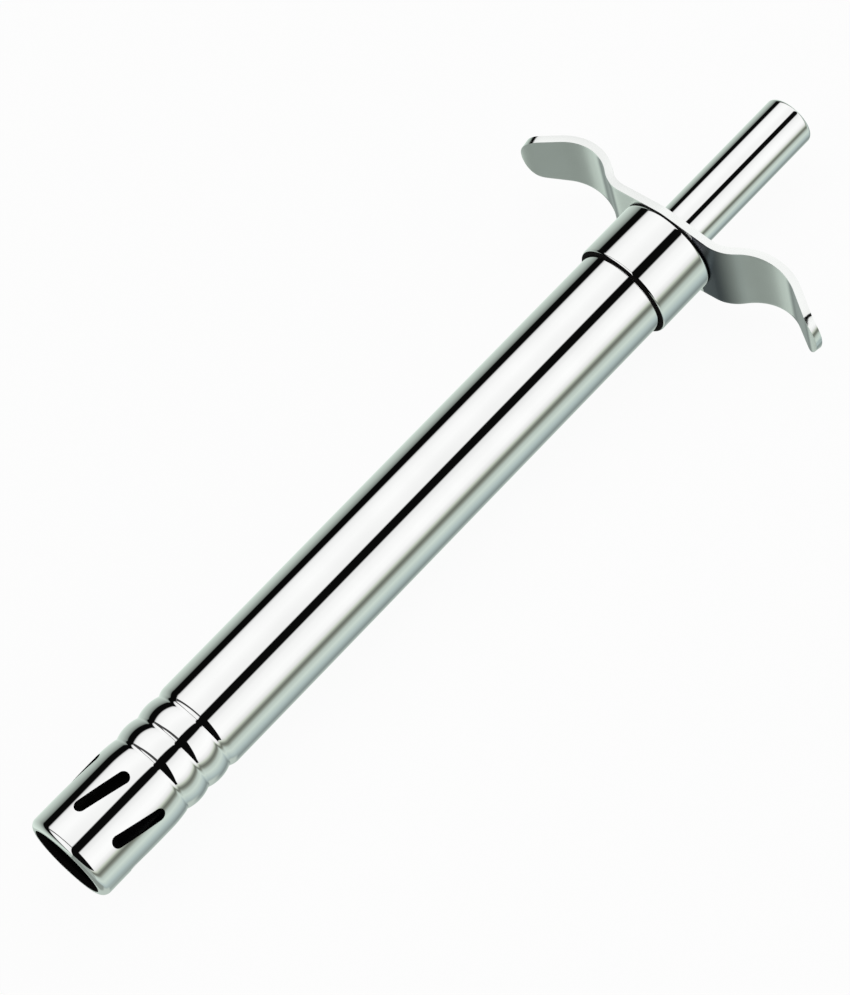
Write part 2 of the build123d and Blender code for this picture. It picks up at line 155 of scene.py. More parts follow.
class GripSizes(bpy.types.PropertyGroup):
    """Sizes of the bent finger grip and the push plunger"""

    seat: size("Grip seat", "Mouth to the underside of the grip", node_start("collar_cap") + 14.2 * MM)
    thickness: size("Sheet", "Thickness of the grip's strip", 1.65 * MM)
    half_width: size("Half width", "Half width of the strip at the tube's axis", 11.25 * MM)
    narrowing: FloatProperty(
        name="Narrowing", description="Half width lost for each length along a wing", default=0.142
    )
    waist: size("Waist", "Length over which the two tapers blend at the middle", 0.6 * MM)
    tip: size("Tip", "Length of a wing's rounded tip", 4.6 * MM)
    flat: size("Flat", "Flat half length on the collar", 11.5 * MM)
    rise_radius: size("Rise radius", "Underside radius of the bend off the collar", 9.2 * MM)
    rise: turned_by("Rise", "Turn of the first bend", 40)
    slope: size("Slope", "Straight length before the crest", 0.4 * MM)
    crest_radius: size("Crest radius", "Underside radius of the crest", 11.6 * MM)
    crest: turned_by("Crest", "Turn of the crest", -72)
    fall: size("Fall", "Straight length after the crest", 5.9 * MM)
    flare_radius: size("Flare radius", "Underside radius of the tip's bend", 7.0 * MM)
    flare: turned_by("Flare", "Turn of the tip's bend", 31.3)
    edge: size("Edge", "Rounding of the strip's edges", 0.3 * MM)
    hole: size("Hole", "Radius of the hole for the bush", 6.95 * MM)
    plunger_start: size("Plunger start", "Mouth to the plunger's inner end", node_start("plunger_tube"))
    plunger_end: size("Plunger end", "Mouth to the plunger's outer end", node_end("plunger_tube"))
    plunger_radius: size("Plunger radius", "Outside of the plunger", node_radius("plunger_tube"))
    plunger_wall: size("Plunger wall", "Thickness of the plunger's wall", 0.5 * MM)
    plunger_cap: size("Plunger cap", "Thickness of the plunger's closed end", 1.0 * MM)
    plunger_round: size("Plunger round", "Rounding of the plunger's end", 0.9 * MM)
    stroke: size("Stroke", "How far the plunger is pressed", 14.0 * MM)


class FinishColours(bpy.types.PropertyGroup):
    """Colours of the lighter's finishes"""

    polished: paint("Polished steel", "Mirror-polished stainless steel", (0.93, 0.935, 0.93))
    # Near-black painted shade for the seams round the collar, and soot with painted shade inside the nozzle.
    soot: paint("Soot", "Inside of the nozzle and the seams round the collar", (0.006, 0.005, 0.005))
    satin: paint("Satin steel", "Tumbled steel of the finger grip", (0.90, 0.915, 0.90))
    zinc: paint("Zinc", "Bright zinc plate", (0.66, 0.67, 0.66))
    spring: paint("Spring steel", "Drawn spring wire", (0.50, 0.50, 0.51))
    hardened: paint("Hardened steel", "Ground and blackened tool steel", (0.30, 0.30, 0.31))
    brass: paint("Brass", "Turned brass", (0.83, 0.62, 0.28))
    nylon: paint("Nylon", "Natural moulded nylon", (0.78, 0.76, 0.68))
    sleeving: paint("Sleeving", "Extruded insulating tube", (0.72, 0.72, 0.70))
    crystal: paint("Crystal", "Fired piezo ceramic", (0.42, 0.35, 0.24))
    floor: paint("Floor", "Studio floor", (1.0, 1.0, 1.0))


class StageSizes(bpy.types.PropertyGroup):
    """Places of the camera and the floor"""

    azimuth: turned_by("Azimuth", "Camera's turn about Z", -29.55)
    elevation: turned_by("Elevation", "Camera's height angle", 56.91)
    roll: turned_by("Roll", "Camera's roll about its view", 20.34)
    distance: size("Distance", "Camera to the point it looks at", 722.93 * MM)
    aim: FloatVectorProperty(
        name="Aim", description="Point the camera looks at", size=3, subtype="XYZ",
        default=(101.02 * MM, 0.27 * MM, -1.44 * MM),
    )
    lens: FloatProperty(name="Lens", description="Camera's focal length in millimetres", default=132.47)
    floor: size("Floor", "Side of the square floor", 6.0)


# ---- small modelling helpers ----

def deselect():
    """Leaves edit mode and selects nothing."""
    if bpy.context.mode != "OBJECT":
        bpy.ops.object.mode_set(mode="OBJECT")
    bpy.ops.object.select_all(action="DESELECT")


def pick(obj, *others):
    """Selects these objects, the first one active."""
    deselect()
    for one in (obj, *others):
        one.select_set(True)
    bpy.context.view_layer.objects.active = obj


def pick_points(obj, test):
    """In edit mode, selects the points whose place passes the test."""
    bpy.ops.object.mode_set(mode="EDIT")
    bpy.ops.mesh.select_mode(type="VERT")
    bpy.ops.mesh.select_all(action="DESELECT")
    bpy.ops.object.mode_set(mode="OBJECT")
    for vertex in obj.data.vertices:
        vertex.select = test(vertex.co)
    bpy.ops.object.mode_set(mode="EDIT")


def place(obj):
    """Puts the object's turn, scale and place into its mesh."""
    pick(obj)
    bpy.ops.object.transform_apply(location=True, rotation=True, scale=True)


def apply_modifiers(obj):
    pick(obj)
    for name in [modifier.name for modifier in obj.modifiers]:
        bpy.ops.object.modifier_apply(modifier=name)


def smooth(obj, angle=SHARP):
    pick(obj)
    bpy.ops.object.shade_smooth_by_angle(angle=angle)


def arc(centre, radius, start, end, steps):
    """Points on an arc of an (x, radius) profile; the angles are from +X, in degrees."""
    points = []
    for step in range(steps + 1):
        angle = math.radians(start + (end - start) * step / steps)
        points.append((centre[0] + radius * math.cos(angle), centre[1] + radius * math.sin(angle)))
    return points


def hump(start, end, base, top, steps):
    """Points on a shallow arc from (start, base) over the middle at top to (end, base)."""
    half = (end - start) / 2
    rise = top - base
    radius = (half * half + rise * rise) / (2 * abs(rise))
    centre = top - math.copysign(radius, rise)
    points = []
    for step in range(steps + 1):
        x = -half + 2 * half * step / steps
        points.append((start + half + x, centre + math.copysign(math.sqrt(radius * radius - x * x), rise)))
    return points


def turn(name, profile, segments):
    """Turns a closed (x, radius) profile about X: one ring of points is extruded along it."""
    deselect()
    x, radius = profile[0]
    bpy.ops.mesh.primitive_circle_add(
        vertices=segments, radius=radius, location=(x, 0, 0), rotation=(0, math.pi / 2, 0)
    )
    obj = bpy.context.object
    obj.name = name
    place(obj)
    bpy.ops.object.mode_set(mode="EDIT")
    bpy.ops.mesh.select_mode(type="EDGE")
    bpy.ops.mesh.select_all(action="SELECT")
    for next_x, next_radius in profile[1:] + profile[:1]:
        bpy.ops.mesh.extrude_region_move(TRANSFORM_OT_translate={"value": (next_x - x, 0, 0)})
        ratio = max(next_radius, CLOSE / 10) / max(radius, CLOSE / 10)
        bpy.ops.transform.resize(value=(1, ratio, ratio), center_override=(next_x, 0, 0))
        x, radius = next_x, next_radius
    bpy.ops.mesh.select_all(action="SELECT")
    bpy.ops.mesh.remove_doubles(threshold=CLOSE * 5)
    bpy.ops.mesh.dissolve_degenerate(threshold=CLOSE)
    bpy.ops.mesh.select_all(action="SELECT")
    bpy.ops.mesh.normals_make_consistent(inside=False)
    bpy.ops.object.mode_set(mode="OBJECT")
    return obj


def cut(obj, cutter):
    """Takes the cutter out of the object, and removes the cutter."""
    modifier = obj.modifiers.new("cut", "BOOLEAN")
    modifier.operation = "DIFFERENCE"
    modifier.solver = "EXACT"
    modifier.object = cutter
    apply_modifiers(obj)
    bpy.data.objects.remove(cutter)


def paint_faces(obj, material, test):
    """Gives this finish to the faces that pass the test."""
    obj.data.materials.append(material)
    pick(obj)
    bpy.ops.object.mode_set(mode="EDIT")
    bpy.ops.mesh.select_mode(type="FACE")
    bpy.ops.mesh.select_all(action="DESELECT")
    bpy.ops.object.mode_set(mode="OBJECT")
    for face in obj.data.polygons:
        face.select = test(face)
    bpy.ops.object.mode_set(mode="EDIT")
    obj.active_material_index = len(obj.data.materials) - 1
    bpy.ops.object.material_slot_assign()
    bpy.ops.object.mode_set(mode="OBJECT")


def finish_piece(obj, body, slot, material, *nodes):
    """Gives the piece its finish and its body, and hides the CAD nodes that it stands for."""
    obj.data.materials.clear()
    obj.data.materials.append(material)
    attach(obj, body)
    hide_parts(*nodes)


# ---- the barrel ----

def grooved_line(sizes, radius):
    """The tube's wall line from the taper, through the rolled grooves, to the end of the shoulder."""
    flank = radius - sizes.groove_flank
    bottom = radius - sizes.groove_depth
    grooves = [sizes.groove_start + sizes.groove_pitch * index for index in range(sizes.groove_count)]
    half = sizes.groove_half
    points = []
    run = sizes.taper
    sag = sizes.groove_flank
    bend = (run * run + sag * sag) / (2 * sag)
    for step in range(13):
        x = run * step / 12
        points.append((grooves[0] - half - run + x, radius - bend + math.sqrt(bend * bend - x * x)))
    for index, groove in enumerate(grooves):
        points += hump(groove - half, groove + half, flank, bottom, 6)[1:]
        if index + 1 < len(grooves):
            points += hump(groove + half, grooves[index + 1] - half, flank, radius, 16)[1:]
    run = sizes.shoulder
    bend = (run * run + sag * sag) / (2 * sag)
    for step in range(7, -1, -1):
        x = run * step / 8
        points.append((grooves[-1] + half + run - x, radius - bend + math.sqrt(bend * bend - x * x)))
    return points


def barrel_profile(sizes):
    """The tube's closed outline: the rolled mouth, the outside, the hidden end and the bore."""
    radius = sizes.radius
    bore = radius - sizes.wall
    mouth = radius - sizes.lip_depth
    lip = sizes.lip_round
    small = sizes.lip_break
    seat = sizes.collar_start - sizes.seat_show
    seat_radius = radius - sizes.seat_step
    outside = arc((lip, radius - lip), lip, 180, 90, 20)
    ramp_start = sizes.slot_start - MM
    ramp_end = sizes.slot_start + sizes.slot_length + MM
    rows = [ramp_start + (ramp_end - ramp_start) * step / 14 for step in range(15)]
    taper_start = sizes.groove_start - sizes.groove_half - sizes.taper
    outside += [(x, radius) for x in rows if x < taper_start - MM / 4]
    outside += grooved_line(sizes, radius)
    outside += [(seat - MM / 10, radius), (seat, seat_radius), (sizes.length, seat_radius)]
    inside = grooved_line(sizes, bore)
    inside = [(sizes.length, bore)] + inside[::-1]
    inside += [(x, bore) for x in reversed(rows) if x < taper_start - MM / 4]
    inside += [(sizes.lip_land + sizes.lip_runout, bore), (sizes.lip_land, mouth)]
    inside += arc((small, mouth + small), small, 270, 180, 5)
    return outside + inside


def slot_cutter(sizes):
    """All the slanted air slots as one cutter, each a round bar stretched into a rounded slot."""
    cutters = []
    for index in range(sizes.slot_count):
        deselect()
        bpy.ops.mesh.primitive_cylinder_add(vertices=48, radius=sizes.slot_width / 2, depth=sizes.radius)
        cutter = bpy.context.object
        stretch = (sizes.slot_length - sizes.slot_width) / 2
        for side in (-1, 1):
            pick_points(cutter, lambda place: place.x * side > CLOSE)
            bpy.ops.transform.translate(value=(side * stretch, 0, 0))
            bpy.ops.object.mode_set(mode="OBJECT")
        middle = sizes.slot_start + sizes.slot_length / 2
        turned = Matrix.Rotation(2 * math.pi * index / sizes.slot_count + sizes.slot_turn, 4, "X")
        slanted = Matrix.Rotation(-sizes.slot_slant, 4, "Z")
        cutter.matrix_world = turned @ Matrix.Translation((middle, 0, sizes.radius)) @ slanted
        place(cutter)
        cutters.append(cutter)
    pick(*cutters)
    bpy.ops.object.join()
    return bpy.context.object


class LIGHTER_OT_barrel(bpy.types.Operator):
    """Build the barrel tube with its rolled mouth, air slots and grooves"""

    bl_idname = "lighter.barrel"
    bl_label = "Barrel tube"

    def execute(self, context):
        sizes = context.scene.lighter_barrel
        tube = turn("barrel_shell", barrel_profile(sizes), 288)
        cut(tube, slot_cutter(sizes))
        smooth(tube)
        finish_piece(tube, "barrel", "polished_steel", polished_steel(context), "barrel_tube")
        bore = sizes.radius - sizes.wall / 2
        # Painted shade: the bore's inward faces get the near-black finish, standing in for the shade inside
        # the tube, with some soot at the mouth.
        paint_faces(tube, soot(context), lambda face: (
            face.center.yz.length < bore and face.center.yz.normalized().dot(face.normal.yz) < -0.5
        ))
        return {"FINISHED"}


class LIGHTER_OT_collar(bpy.types.Operator):
    """Build the collar that caps the barrel tube"""

    bl_idname = "lighter.collar"
    bl_label = "Collar"

    def execute(self, context):
        sizes = context.scene.lighter_barrel
        start, end, radius = sizes.collar_start, sizes.collar_end, sizes.collar_radius
        bore = sizes.radius - sizes.seat_step + sizes.fit
        lip, edge = sizes.collar_lip, sizes.collar_round
        profile = arc((start + lip, radius - lip), lip, 180, 90, 8)
        profile += arc((end - edge, radius - edge), edge, 90, 0, 14)
        profile += [(end, sizes.collar_hole), (end - sizes.collar_floor, sizes.collar_hole)]
        profile += [(end - sizes.collar_floor, bore), (start, bore)]
        collar = turn("collar_shell", profile, 288)
        smooth(collar)
        finish_piece(collar, "barrel", "polished_steel", polished_steel(context), "collar_cap")
        # Painted shadow: the collar's open end face and its outer rounding under the grip get the near-black
        # finish, standing in for the shadow in those two seams.
        paint_faces(collar, soot(context), lambda face: face.normal.x < -0.75 or face.normal.x > 0.45)
        return {"FINISHED"}


# ---- the finger grip and the plunger ----

def wing_path(sizes):
    """Rows along one wing's underside: (across, along the tube, heading), from the middle to the tip."""
    rows = []
    across, along, heading = 0.0, sizes.seat, 0.0
    bends = (
        (sizes.flat, sizes.rise_radius, sizes.rise),
        (sizes.slope, sizes.crest_radius, sizes.crest),
        (sizes.fall, sizes.flare_radius, sizes.flare),
    )
    for straight, radius, bend in bends:
        steps = max(1, round(straight / MM))
        for step in range(steps):
            run = straight * step / steps
            rows.append((across + run * math.cos(heading), along + run * math.sin(heading), heading))
        across += straight * math.cos(heading)
        along += straight * math.sin(heading)
        side = math.copysign(1, bend)
        middle = (across - side * radius * math.sin(heading), along + side * radius * math.cos(heading))
        steps = max(4, round(abs(math.degrees(bend)) / 2.5))
        for step in range(steps + 1):
            angle = heading + bend * step / steps
            out = side * radius * math.sin(angle)
            up = side * radius * math.cos(angle)
            if step or not straight:
                rows.append((middle[0] + out, middle[1] - up, angle))
        heading += bend
        across, along = rows[-1][0], rows[-1][1]
        rows.pop()
    rows.append((across, along, heading))
    return rows


def wing_half_width(sizes, across, tip):
    """Half width of the strip at a distance across from the tube's axis."""
    blend = math.sqrt(across * across + sizes.waist * sizes.waist) - sizes.waist
    width = sizes.half_width - MM / 10 - sizes.narrowing * blend
    reach = (across - (tip - sizes.tip)) / sizes.tip
    if reach > 0:
        width *= math.sqrt(max(0.0, 1 - reach * reach))
    return width


def tip_rows(sizes, rows):
    """The wing's rows, closer together in the rounded tip so that its outline stays round."""
    tip = rows[-1][0]
    bend_start = tip - sizes.tip
    kept = [row for row in rows if row[0] < bend_start - MM / 10]
    for step in range(16):
        across = bend_start + sizes.tip * math.sin(math.radians(84) * step / 15)
        after = next(index for index, row in enumerate(rows) if row[0] >= across)
        low, high = rows[after - 1], rows[after]
        share = (across - low[0]) / (high[0] - low[0])
        kept.append(tuple(low[part] + (high[part] - low[part]) * share for part in range(3)))
    return kept, tip


def bent_strip(sizes):
    """One wing of the strip's underside: a cross line extruded row by row along its bends."""
    rows, tip = tip_rows(sizes, wing_path(sizes))
    deselect()
    waist = wing_half_width(sizes, 0, tip)
    bpy.ops.mesh.primitive_plane_add(
        size=2 * waist, location=(sizes.seat, 0, 0), rotation=(0, math.pi / 2, 0)
    )
    strip = bpy.context.object
    strip.name = "finger_strip"
    place(strip)
    pick_points(strip, lambda place: place.y > 0)
    bpy.ops.mesh.delete(type="VERT")
    bpy.ops.mesh.select_all(action="SELECT")
    bpy.ops.transform.translate(value=(0, waist, 0))
    bpy.ops.mesh.subdivide(number_cuts=23)
    bpy.ops.mesh.select_mode(type="EDGE")
    bpy.ops.mesh.select_all(action="SELECT")
    across, along, _ = rows[0]
    width = wing_half_width(sizes, across, tip)
    for next_across, next_along, _ in rows[1:]:
        move = (next_along - along, next_across - across, 0)
        bpy.ops.mesh.extrude_region_move(TRANSFORM_OT_translate={"value": move})
        next_width = wing_half_width(sizes, next_across, tip)
        ratio = next_width / width
        bpy.ops.transform.resize(value=(1, 1, ratio), center_override=(next_along, next_across, 0))
        across, along, width = next_across, next_along, next_width
    bpy.ops.object.mode_set(mode="OBJECT")
    return strip


class LIGHTER_OT_grip(bpy.types.Operator):
    """Build the bent finger grip from one strip of steel"""

    bl_idname = "lighter.grip"
    bl_label = "Finger grip"

    def execute(self, context):
        sizes = context.scene.lighter_grip
        strip = bent_strip(sizes)
        mirror = strip.modifiers.new("two wings", "MIRROR")
        mirror.use_axis = (False, True, False)
        mirror.merge_threshold = CLOSE * 10
        apply_modifiers(strip)
        bpy.ops.object.mode_set(mode="EDIT")
        bpy.ops.mesh.select_all(action="SELECT")
        bpy.ops.mesh.normals_make_consistent(inside=False)
        bpy.ops.object.mode_set(mode="OBJECT")
        facing = sum(polygon.normal.x for polygon in strip.data.polygons)
        sheet = strip.modifiers.new("sheet", "SOLIDIFY")
        sheet.thickness = sizes.thickness
        sheet.offset = math.copysign(1, facing)
        sheet.use_even_offset = True
        apply_modifiers(strip)
        deselect()
        bpy.ops.mesh.primitive_cylinder_add(
            vertices=96, radius=sizes.hole, depth=20 * MM,
            location=(sizes.seat, 0, 0), rotation=(0, math.pi / 2, 0),
        )
        drill = bpy.context.object
        place(drill)
        cut(strip, drill)
        edges = strip.modifiers.new("edges", "BEVEL")
        edges.width = sizes.edge
        edges.segments = 4
        edges.limit_method = "ANGLE"
        edges.angle_limit = math.radians(50)
        apply_modifiers(strip)
        smooth(strip)
        finish_piece(strip, "barrel", "satin_steel", satin_steel(context), "finger_grip")
        strip.visible_glossy = False
        return {"FINISHED"}


class LIGHTER_OT_plunger(bpy.types.Operator):
    """Build the closed push plunger"""

    bl_idname = "lighter.plunger"
    bl_label = "Push plunger"

    def execute(self, context):
        sizes = context.scene.lighter_grip
        start, end, radius = sizes.plunger_start, sizes.plunger_end, sizes.plunger_radius
        bore = radius - sizes.plunger_wall
        edge = sizes.plunger_round
        profile = [(start, bore), (start, radius)]
        profile += arc((end - edge, radius - edge), edge, 90, 0, 16)
        cap = end - sizes.plunger_cap
        profile += [(end, radius / 2), (end, 0), (cap, 0), (cap, bore)]
        plunger = turn("plunger_shell", profile, 192)
        smooth(plunger)
        finish_piece(plunger, "plunger", "polished_steel", polished_steel(context), "plunger_tube")
        return {"FINISHED"}


# ---- finishes ----

def new_group(name, inputs, outputs):
    """An empty shader node group with these (kind, name, default) sockets."""
    group = bpy.data.node_groups.new(name, "ShaderNodeTree")
    for kind, label, default in inputs:
        socket = group.interface.new_socket(label, in_out="INPUT", socket_type=kind)
        if default is not None:
            socket.default_value = default
    for kind, label in outputs:
        group.interface.new_socket(label, in_out="OUTPUT", socket_type=kind)
    return group


def add(tree, kind, **settings):
    """A node with these settings; a value for an input is given by the input's name or number."""
    node = tree.nodes.new(kind)
    for key, value in settings.items():
        if key == "inputs":
            for socket, content in value.items():
                node.inputs[socket].default_value = content
        else:
            setattr(node, key, value)
    return node


def maths(tree, operation, *values):
    """A sum on numbers or sockets, as its output socket."""
    node = add(tree, "ShaderNodeMath", operation=operation)
    for index, value in enumerate(values):
        if isinstance(value, (int, float)):
            node.inputs[index].default_value = value
        else:
            tree.links.new(value, node.inputs[index])
    return node.outputs[0]


def fade(tree, value, start, end, low=0.0, high=1.0, kind="SMOOTHSTEP"):
    """Goes from low to high as the value goes from start to end."""
    node = add(tree, "ShaderNodeMapRange", interpolation_type=kind, inputs={
        "From Min": start, "From Max": end, "To Min": low, "To Max": high,
    })
    tree.links.new(value, node.inputs["Value"])
    return node.outputs["Result"]


def handling_marks():
    """Shared effect: faint wiping streaks along the part and cloudy handling marks."""
    name = "handling marks"
    if name in bpy.data.node_groups:
        return bpy.data.node_groups[name]
    group = new_group(
        name,
        [
            ("NodeSocketFloat", "Base Roughness", 0.05),
            ("NodeSocketFloat", "Variation", 0.03),
            ("NodeSocketColor", "Colour", None),
        ],
        [("NodeSocketFloat", "Roughness"), ("NodeSocketColor", "Colour"), ("NodeSocketFloat", "Height")],
    )
    entry = add(group, "NodeGroupInput")
    leave = add(group, "NodeGroupOutput")
    place_node = add(group, "ShaderNodeTexCoord")
    stretch = add(group, "ShaderNodeMapping", inputs={"Scale": (60, 900, 900)})
    streaks = add(group, "ShaderNodeTexNoise", inputs={"Scale": 1.0, "Detail": 3.0, "Roughness": 0.6})
    clouds = add(group, "ShaderNodeTexNoise", inputs={"Scale": 90.0, "Detail": 4.0, "Roughness": 0.55})
    both = add(group, "ShaderNodeMath", operation="MULTIPLY")
    spread = add(group, "ShaderNodeMath", operation="MULTIPLY_ADD")
    tint = add(group, "ShaderNodeMix", data_type="RGBA", blend_type="MULTIPLY")
    link = group.links.new
    link(place_node.outputs["Object"], stretch.inputs["Vector"])
    link(stretch.outputs["Vector"], streaks.inputs["Vector"])
    link(place_node.outputs["Object"], clouds.inputs["Vector"])
    link(streaks.outputs["Fac"], both.inputs[0])
    link(clouds.outputs["Fac"], both.inputs[1])
    link(both.outputs[0], spread.inputs[0])
    link(entry.outputs["Variation"], spread.inputs[1])
    link(entry.outputs["Base Roughness"], spread.inputs[2])
    link(spread.outputs[0], leave.inputs["Roughness"])
    tint.inputs["Factor"].default_value = 1.0
    link(entry.outputs["Colour"], tint.inputs[6])
    link(fade(group, clouds.outputs["Fac"], 0.3, 0.7, 0.965, 1.0, "LINEAR"), tint.inputs[7])
    link(tint.outputs[2], leave.inputs["Colour"])
    link(streaks.outputs["Fac"], leave.inputs["Height"])
    return group


def metal(name, colour, roughness, variation, bump, grain=None):
    """A metal finish with handling marks, and a fine grain where one is given."""
    if name + FINISH in bpy.data.materials:
        return bpy.data.materials[name + FINISH]
    material = bpy.data.materials.new(name + FINISH)
    material.use_nodes = True
    tree = material.node_tree
    shader = tree.nodes["Principled BSDF"]
    shader.inputs["Metallic"].default_value = 1.0
    marks = add(tree, "ShaderNodeGroup", node_tree=handling_marks())
    marks.inputs["Base Roughness"].default_value = roughness
    marks.inputs["Variation"].default_value = variation
    marks.inputs["Colour"].default_value = (*colour, 1)
    link = tree.links.new
    link(marks.outputs["Roughness"], shader.inputs["Roughness"])
    link(marks.outputs["Colour"], shader.inputs["Base Color"])
    relief = add(tree, "ShaderNodeBump", inputs={"Strength": bump, "Distance": 0.02 * MM})
    height = marks.outputs["Height"]
    if grain:
        place_node = add(tree, "ShaderNodeTexCoord")
        speckle = add(tree, "ShaderNodeTexNoise", inputs={"Scale": grain, "Detail": 2.0, "Roughness": 0.7})
        link(place_node.outputs["Object"], speckle.inputs["Vector"])
        height = speckle.outputs["Fac"]
    link(height, relief.inputs["Height"])
    link(relief.outputs["Normal"], shader.inputs["Normal"])
    return material


def polished_steel(context):
    return metal("polished_steel", context.scene.lighter_finish.polished, 0.004, 0.012, 0.003)


SATIN_GRAIN = 2600                     # scale of the tumbled surface's speckles
RUBBED = (0.25, 0.55, 0.35)            # lean along X up to which edges are rubbed, and from which faces are
#                                        grained, and the rubbed edges' share of the roughness
SHADE_BAND = (-19.5 * MM, -12.0 * MM)  # the shade beside the collar fades in between these places along Y
SHADE_END = -8.0 * MM                  # and ends here, under the collar
GRAZING = (0.735, 0.83, 0.85)          # facing values where the crests start and stop darkening, and how much
UNDERSIDE = -0.5                       # a face that leans further to -X than this is on the strip's underside
DEEP_SHADE = (0.055, 0.065, 0.085, 1)  # colour of the steel in that shade


def underside_shade(tree, lean, facing):
    """How dark the strip's underside is: beside the collar on the -Y wing, and on crests seen at a slant."""
    where = add(tree, "ShaderNodeTexCoord")
    across = add(tree, "ShaderNodeSeparateXYZ")
    tree.links.new(where.outputs["Object"], across.inputs[0])
    underside = maths(tree, "LESS_THAN", lean, UNDERSIDE)
    beside = fade(tree, across.outputs["Y"], *SHADE_BAND)
    reached = maths(tree, "LESS_THAN", across.outputs["Y"], SHADE_END)
    collar = maths(tree, "MULTIPLY", maths(tree, "MULTIPLY", beside, reached), underside)
    start, end, most = GRAZING
    crest = maths(tree, "MULTIPLY", fade(tree, facing, start, end, 0.0, most), underside)
    return maths(tree, "MAXIMUM", collar, crest)


def satin_steel(context):
    """Tumbled steel: grained faces, smoother rubbed edges, and an underside shaded in two places."""
    if "satin_steel" + FINISH in bpy.data.materials:
        return bpy.data.materials["satin_steel" + FINISH]
    colour = context.scene.lighter_finish.satin
    material = metal("satin_steel", colour, 0.28, 0.12, 0.22, grain=SATIN_GRAIN)
    tree = material.node_tree
    shader = tree.nodes["Principled BSDF"]
    link = tree.links.new
    shape = add(tree, "ShaderNodeNewGeometry")
    parts = add(tree, "ShaderNodeSeparateXYZ")
    link(shape.outputs["Normal"], parts.inputs[0])
    lean = parts.outputs["X"]
    edge, face, share = RUBBED
    rubbed = fade(tree, maths(tree, "ABSOLUTE", lean), edge, face, share, 1.0, "LINEAR")
    roughness = shader.inputs["Roughness"].links[0].from_socket
    link(maths(tree, "MULTIPLY", roughness, rubbed), shader.inputs["Roughness"])

    look = add(tree, "ShaderNodeLayerWeight", inputs={"Blend": 0.5})
    tone = add(tree, "ShaderNodeMix", data_type="RGBA")
    tone.inputs[7].default_value = DEEP_SHADE
    link(underside_shade(tree, lean, look.outputs["Facing"]), tone.inputs["Factor"])
    link(shader.inputs["Base Color"].links[0].from_socket, tone.inputs[6])
    link(tone.outputs[2], shader.inputs["Base Color"])
    return material


def moulded(name, colour, roughness, subsurface):
    """A moulded plastic or fired ceramic with a fine skin texture."""
    if name + FINISH in bpy.data.materials:
        return bpy.data.materials[name + FINISH]
    material = bpy.data.materials.new(name + FINISH)
    material.use_nodes = True
    tree = material.node_tree
    shader = tree.nodes["Principled BSDF"]
    shader.inputs["Subsurface Weight"].default_value = subsurface
    shader.inputs["Subsurface Scale"].default_value = MM
    marks = add(tree, "ShaderNodeGroup", node_tree=handling_marks())
    marks.inputs["Base Roughness"].default_value = roughness
    marks.inputs["Variation"].default_value = 0.15
    marks.inputs["Colour"].default_value = (*colour, 1)
    relief = add(tree, "ShaderNodeBump", inputs={"Strength": 0.2, "Distance": 0.03 * MM})
    link = tree.links.new
    link(marks.outputs["Roughness"], shader.inputs["Roughness"])
    link(marks.outputs["Colour"], shader.inputs["Base Color"])
    link(marks.outputs["Height"], relief.inputs["Height"])
    link(relief.outputs["Normal"], shader.inputs["Normal"])
    return material


def soot(context):
    """Dull black painted shade in the seams round the collar, and soot with painted shade inside the nozzle.
    """
    material = moulded("soot", context.scene.lighter_finish.soot, 0.75, 0.0)
    material.node_tree.nodes["Principled BSDF"].inputs["Specular IOR Level"].default_value = 0.05
    return material


class LIGHTER_OT_striker(bpy.types.Operator):
    """Give the bush, the electrode and the striker's pieces their finishes"""

    bl_idname = "lighter.striker"
    bl_label = "Striker finishes"

    def execute(self, context):
        colours = context.scene.lighter_finish
        finishes = {
            "polished_steel": polished_steel(context),
            "satin_steel": satin_steel(context),
            "zinc_steel": metal("zinc_steel", colours.zinc, 0.22, 0.15, 0.15),
            "spring_steel": metal("spring_steel", colours.spring, 0.25, 0.2, 0.3),
            "hardened_steel": metal("hardened_steel", colours.hardened, 0.30, 0.2, 0.3),
            "brass": metal("brass", colours.brass, 0.20, 0.2, 0.2),
            "nylon": moulded("nylon", colours.nylon, 0.40, 0.15),
            "sleeving": moulded("sleeving", colours.sleeving, 0.35, 0.1),
            "crystal": moulded("crystal", colours.crystal, 0.5, 0.0),
        }
        slots = {part["node"]: part["material_slot"] for part in frame["record"]["subparts"]}
        for node, obj in frame["nodes"].items():
            obj.data.materials.clear()
            # The nozzle's insulator sits deep in the mouth and gets the same near-black: soot with painted
            # shade.
            soot_and_shade_insulator = node == "nozzle_insulator"
            obj.data.materials.append(soot(context) if soot_and_shade_insulator else finishes[slots[node]])
        return {"FINISHED"}


class LIGHTER_OT_springs(bpy.types.Operator):
    """Copy the return spring and the hammer spring as pieces that ride with the plunger"""

    bl_idname = "lighter.springs"
    bl_label = "Springs"

    def execute(self, context):
        colours = context.scene.lighter_finish
        for node in ("return_spring", "hammer_spring"):
            pick(frame["nodes"][node])
            bpy.ops.object.duplicate()
            spring = bpy.context.object
            spring.name = node + "_coil"
            for key in list(spring.keys()):
                del spring[key]
            bpy.ops.object.parent_clear(type="CLEAR_KEEP_TRANSFORM")
            place(spring)
            wire = metal("spring_steel", colours.spring, 0.25, 0.2, 0.3)
            finish_piece(spring, "plunger", "spring_steel", wire, node)
            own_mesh(spring)
        return {"FINISHED"}


# ---- the studio ----

def cloth_light(brightness, cloth):
    """The light of a cloth that shows at this display brightness, from 0 to 255."""
    values = []
    for tint in cloth:
        share = brightness * tint / 255
        values.append(share / 12.92 if share <= 0.04045 else ((share + 0.055) / 1.055) ** 2.4)
    return (*values, 1)


# The tints of the studio's cloths.
WHITE = (1.0, 1.0, 1.0)
SAGE = (0.94, 1.0, 0.96)
OLIVE = (0.96, 1.0, 0.93)
TEAL = (0.92, 1.0, 0.99)

